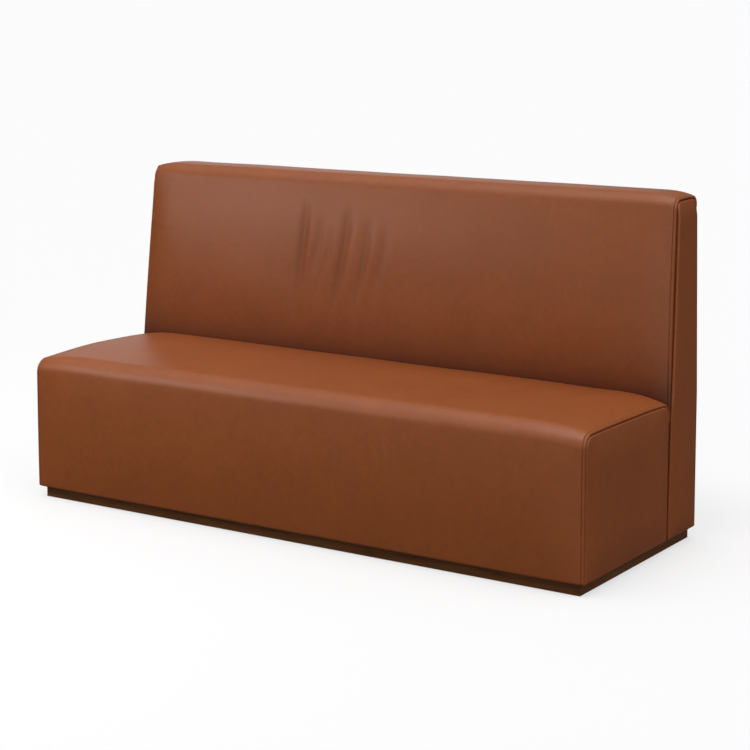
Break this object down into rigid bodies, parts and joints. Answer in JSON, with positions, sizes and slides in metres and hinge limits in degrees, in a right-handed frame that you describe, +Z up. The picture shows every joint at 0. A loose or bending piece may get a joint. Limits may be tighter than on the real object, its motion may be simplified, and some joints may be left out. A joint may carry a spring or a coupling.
{
  "type": "restaurant booth seating",
  "caption": "Straight restaurant booth bench: crowned leather seat block and reclined leather back block on a recessed dark wood plinth, with levelling glides.",
  "frame": {"origin": "middle of the bench's footprint, on the floor", "axes": "+X along the bench to the right as seen from the front, -Y towards the sitter's feet (the front), +Z up"},
  "size_m": [2.03, 0.7403, 1.083],
  "materials": {
    "leather": "smooth full-grain upholstery leather, satin",
    "walnut": "dark stained walnut, satin lacquer",
    "plywood": "birch plywood, unfinished",
    "frame_timber": "planed softwood, unfinished",
    "foam": "open-cell upholstery foam",
    "felt": "pressed fibre felt",
    "dust_cloth": "black woven dust cloth",
    "spring_steel": "oiled spring steel",
    "zinc_steel": "bright zinc plate"
  },
  "bodies": {
    "bench": {"back_bottom_front_rail": "frame_timber", "back_bottom_rear_rail": "frame_timber", "back_dust_cover": "dust_cloth", "back_frame_screws": "zinc_steel", "back_front_and_top_cover": "leather", "back_front_board": "plywood", "back_front_foam": "foam", "back_left_end_frame": "plywood", "back_left_rib": "plywood", "back_left_side_cover": "leather", "back_left_side_pad": "foam", "back_lower_board": "plywood", "back_lumbar_rail": "plywood", "back_rear_board": "plywood", "back_rear_cover": "leather", "back_right_end_frame": "plywood", "back_right_rib": "plywood", "back_right_side_cover": "leather", "back_right_side_pad": "foam", "back_top_foam": "foam", "back_top_rail": "plywood", "glide_tee_nuts": "zinc_steel", "joining_bolts": "zinc_steel", "joining_packers": "zinc_steel", "joining_tee_nuts": "zinc_steel", "joining_washers": "zinc_steel", "plinth_corner_blocks": "frame_timber", "plinth_cross_rail_left": "frame_timber", "plinth_cross_rail_right": "frame_timber", "plinth_front_rail": "walnut", "plinth_left_rail": "walnut", "plinth_rear_rail": "walnut", "plinth_right_rail": "walnut", "plinth_screws": "zinc_steel", "seat_dust_cover": "dust_cloth", "seat_foam": "foam", "seat_frame_screws": "zinc_steel", "seat_front_cleat": "frame_timber", "seat_front_foam": "foam", "seat_front_panel": "plywood", "seat_insulator_pad": "felt", "seat_left_rib": "plywood", "seat_left_side_cover": "leather", "seat_left_side_pad": "foam", "seat_left_side_panel": "plywood", "seat_rear_cleat": "frame_timber", "seat_rear_panel": "plywood", "seat_right_rib": "plywood", "seat_right_side_cover": "leather", "seat_right_side_pad": "foam", "seat_right_side_panel": "plywood", "seat_spring_clips": "spring_steel", "seat_springs": "spring_steel", "seat_top_and_front_cover": "leather"},
    "glide_front_left": {"glide_front_left": "zinc_steel"},
    "glide_front_right": {"glide_front_right": "zinc_steel"},
    "glide_rear_left": {"glide_rear_left": "zinc_steel"},
    "glide_rear_right": {"glide_rear_right": "zinc_steel"}
  },
  "joints": [
    {"name": "glide_front_left_screw", "type": "slide", "parent": "bench", "child": "glide_front_left", "axis": [0, 0, -1], "range_m": [0, 0.012]},
    {"name": "glide_front_right_screw", "type": "slide", "parent": "bench", "child": "glide_front_right", "axis": [0, 0, -1], "range_m": [0, 0.012]},
    {"name": "glide_rear_left_screw", "type": "slide", "parent": "bench", "child": "glide_rear_left", "axis": [0, 0, -1], "range_m": [0, 0.012]},
    {"name": "glide_rear_right_screw", "type": "slide", "parent": "bench", "child": "glide_rear_right", "axis": [0, 0, -1], "range_m": [0, 0.012]}
  ]
}
